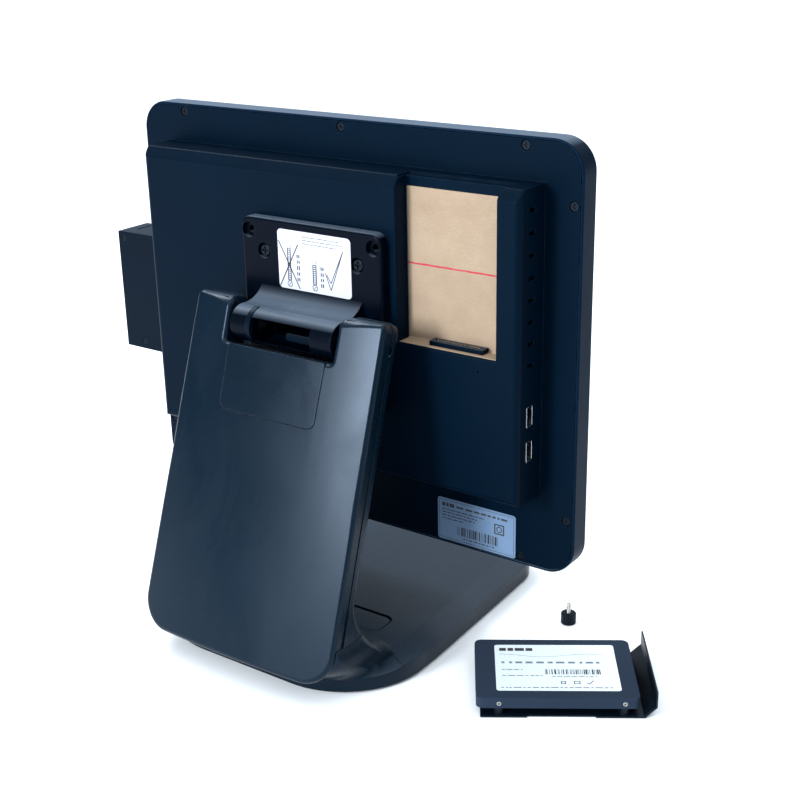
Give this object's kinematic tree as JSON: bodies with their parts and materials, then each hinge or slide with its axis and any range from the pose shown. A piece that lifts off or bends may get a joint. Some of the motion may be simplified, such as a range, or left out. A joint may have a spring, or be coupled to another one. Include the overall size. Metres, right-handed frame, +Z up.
{
  "type": "pos touchscreen terminal",
  "caption": "Countertop checkout terminal: touch display with rear computer housing and open drive bay, side card reader, tilting arm plate, slanted leg, flat base, drive tray laid beside it.",
  "frame": {"origin": "on the counter, under the middle of the base", "axes": "+Z up; the screen looks along -Y; the drive bay and the side sockets are on the -X side and the card reader on the +X side"},
  "size_m": [0.4588, 0.2465, 0.34],
  "materials": {
    "painted_shell": "satin dark blue-black",
    "moulded_shell": "fine satin texture",
    "cast_arm": "satin powder coat",
    "black_plastic": "fine texture",
    "dark_screw": "black oxide",
    "plated_steel": "zinc plated",
    "bright_metal": "nickel plated",
    "black_sheet": "satin black",
    "ssd_metal": "fine anodised",
    "screen_glass": "gloss",
    "panel_black": "gloss",
    "rubber_black": "matt",
    "board_green": "solder mask",
    "heat_alloy": "extruded",
    "kraft_card": "brown card",
    "label_paper": "satin film",
    "label_dark": "satin film",
    "blue_label": "printed film",
    "gold_contact": "gold flash"
  },
  "bodies": {
    "stand": {"base_top_shell": "moulded_shell", "base_bottom_plate": "black_sheet", "base_ballast": "plated_steel", "base_screws": "dark_screw", "base_pads": "rubber_black", "stand_foot": "moulded_shell", "stand_rear_cover": "moulded_shell", "stand_side_strips": "moulded_shell", "stand_front_shell": "moulded_shell", "stand_spine": "plated_steel", "stand_screws": "dark_screw", "hinge_pins": "plated_steel", "hinge_washers": "plated_steel", "hinge_nuts": "plated_steel"},
    "head": {"arm_bracket": "cast_arm", "barrel_ring": "black_plastic", "cable_clip": "black_plastic", "vesa_screws": "dark_screw", "vesa_label": "label_paper", "bezel_frame": "painted_shell", "touch_glass": "screen_glass", "lcd_panel": "panel_black", "chassis_plate": "plated_steel", "head_rear_cover": "painted_shell", "cover_screws": "dark_screw", "mainboard": "board_green", "heat_sink": "heat_alloy", "memory_module": "board_green", "speaker": "black_plastic", "network_jacks": "bright_metal", "lower_usb_ports": "bright_metal", "power_jack": "black_plastic", "side_usb_ports": "bright_metal", "side_usb_tongues": "black_plastic", "insulating_sheet": "kraft_card", "sata_socket": "black_plastic", "rating_label": "label_dark", "reader_body": "black_plastic", "reader_back": "black_plastic", "reader_screws": "dark_screw", "reader_board": "board_green"},
    "button": {"power_button": "black_plastic"},
    "swipe_head": {"reader_head": "bright_metal"},
    "door": {"stand_door": "moulded_shell"},
    "cable_cover": {"base_cable_cover": "moulded_shell"},
    "drive": {"drive_tray": "black_sheet", "ssd_case": "ssd_metal", "ssd_side_inserts": "plated_steel", "ssd_plug": "gold_contact", "ssd_label": "blue_label", "tray_screws": "plated_steel"},
    "thumbscrew": {"thumb_knob": "dark_screw", "thumb_shank": "plated_steel"}
  },
  "joints": [
    {"name": "display_tilt", "type": "hinge", "parent": "stand", "child": "head", "pos_m": [0, 0.052, 0.2145], "axis": [-1, 0, 0], "range_deg": [-5, 60]},
    {"name": "button_press", "type": "slide", "parent": "head", "child": "button", "axis": [0, 0, 1], "range_m": [0, 0.0006], "stiffness_N_per_m": 900, "springref_m": -0.0006},
    {"name": "swipe_head_press", "type": "slide", "parent": "head", "child": "swipe_head", "axis": [-1, 0, 0], "range_m": [0, 0.0004], "stiffness_N_per_m": 900, "springref_m": -0.0006},
    {"name": "door_removal", "type": "slide", "parent": "stand", "child": "door", "axis": [0, 0.9449, 0.3272], "range_m": [0, 0.012]},
    {"name": "cable_cover_lift", "type": "slide", "parent": "stand", "child": "cable_cover", "axis": [0, 0, 1], "range_m": [0, 0.012]},
    {"name": "drive_lift", "type": "slide", "parent": "stand", "child": "drive", "axis": [0, 0, 1], "range_m": [0, 0.04]},
    {"name": "thumbscrew_lift", "type": "slide", "parent": "stand", "child": "thumbscrew", "axis": [0, 0, 1], "range_m": [0, 0.04]}
  ]
}
